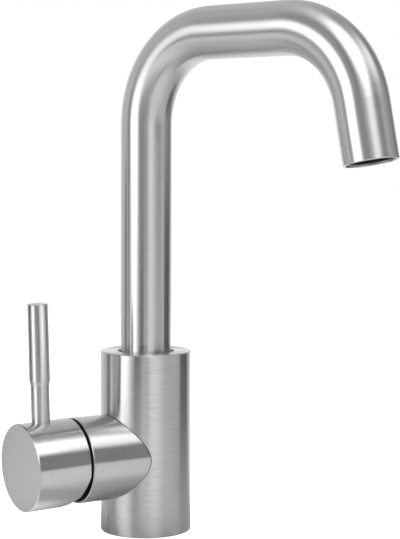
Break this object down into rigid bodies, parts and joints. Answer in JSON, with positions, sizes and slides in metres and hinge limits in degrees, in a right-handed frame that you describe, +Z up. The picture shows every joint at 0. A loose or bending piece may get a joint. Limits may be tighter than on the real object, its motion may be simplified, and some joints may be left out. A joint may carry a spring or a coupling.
{
  "type": "bathroom sink faucet",
  "caption": "Basin mixer in brushed steel: round column, side valve with an upright lever rod, and a tall bent tube spout that swivels in the column.",
  "frame": {"origin": "centre of the column's foot, on the deck", "axes": "+Z up along the column's axis, the valve and its handle towards -X, the spout forward towards -Y, turned a little towards +X at rest"},
  "size_m": [0.1299, 0.1881, 0.2865],
  "materials": {
    "steel": "brushed",
    "brass": "machined",
    "black_plastic": "moulded",
    "white_plastic": "moulded",
    "rubber": "matte",
    "ceramic": "lapped"
  },
  "bodies": {
    "column": {"body_column": "steel", "valve_housing": "steel", "base_seal": "rubber", "cartridge_base": "white_plastic", "port_seals": "rubber", "disc_seals": "rubber", "fixed_disc": "ceramic", "cartridge_shell": "white_plastic", "cartridge_nut": "brass", "dome_ring": "black_plastic", "spout_stop_screw": "steel"},
    "spout": {"spout_tube": "steel", "spout_spigot": "brass", "spout_orings": "rubber", "upper_slide_ring": "white_plastic", "lower_slide_ring": "white_plastic", "aerator_bush": "steel", "aerator_housing": "black_plastic", "aerator_grille": "black_plastic", "flow_regulator": "white_plastic", "aerator_seal": "rubber"},
    "turret": {"turret": "white_plastic", "pivot_pin": "steel", "turret_oring": "rubber"},
    "handle": {"lever_spindle": "brass", "handle_cap": "steel", "lever_rod": "steel", "handle_set_screw": "steel"},
    "disc": {"moving_disc": "ceramic", "disc_carrier": "white_plastic"}
  },
  "joints": [
    {"name": "spout_swivel", "type": "hinge", "parent": "column", "child": "spout", "pos_m": [0, 0, 0.1], "axis": [0, 0, 1], "continuous": true},
    {"name": "handle_temperature", "type": "hinge", "parent": "column", "child": "turret", "pos_m": [-0.04103, 0, 0.0427], "axis": [-1, 0, 0], "range_deg": [-45, 45]},
    {"name": "handle_flow", "type": "hinge", "parent": "turret", "child": "handle", "pos_m": [-0.04103, 0, 0.0427], "axis": [0, -1, 0], "range_deg": [0, 15]},
    {"name": "disc_slide", "type": "slide", "parent": "turret", "child": "disc", "axis": [0, 0, 1], "range_m": [0, 0.0031]}
  ],
  "couplings": [
    {"joint": "disc_slide", "follows": "handle_flow", "m_per_rad": 0.0115}
  ]
}
